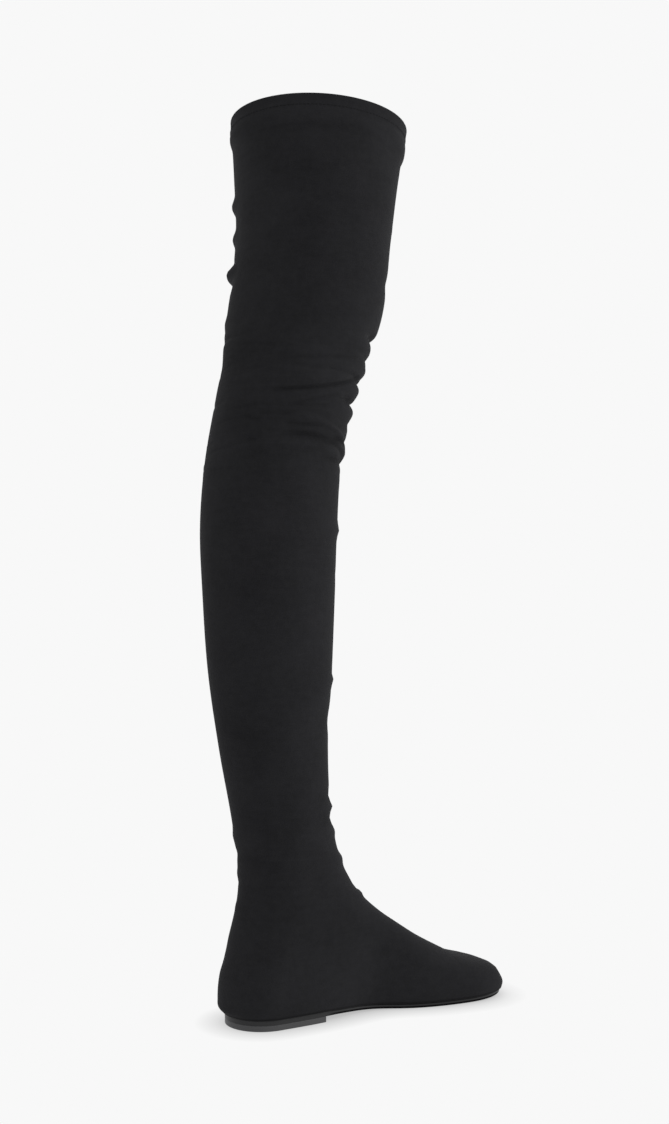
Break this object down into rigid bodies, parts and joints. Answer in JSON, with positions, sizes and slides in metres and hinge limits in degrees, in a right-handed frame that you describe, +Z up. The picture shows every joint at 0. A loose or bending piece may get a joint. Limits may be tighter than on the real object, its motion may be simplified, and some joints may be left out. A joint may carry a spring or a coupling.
{
  "type": "thigh high boot",
  "caption": "Flat pull-on thigh-high boot for the left foot, soft suede shaft bent at the knee, thin rubber sole with a low heel, standing open at the collar.",
  "frame": {"origin": "on the floor, under the middle of the boot's box", "axes": "+Y from heel to toe, +X to the wearer's right, the inner side of this left boot, +Z up the shaft"},
  "size_m": [0.1294, 0.2558, 0.6933],
  "materials": {
    "suede": "matt stretch suede with a short nap",
    "lining": "matt knitted lining",
    "sole_rubber": "smooth satin edge",
    "heel_rubber": "smooth satin"
  },
  "bodies": {
    "root": {"upper": "suede", "insole": "lining", "outsole": "sole_rubber", "heel_lift": "heel_rubber"}
  },
  "joints": []
}
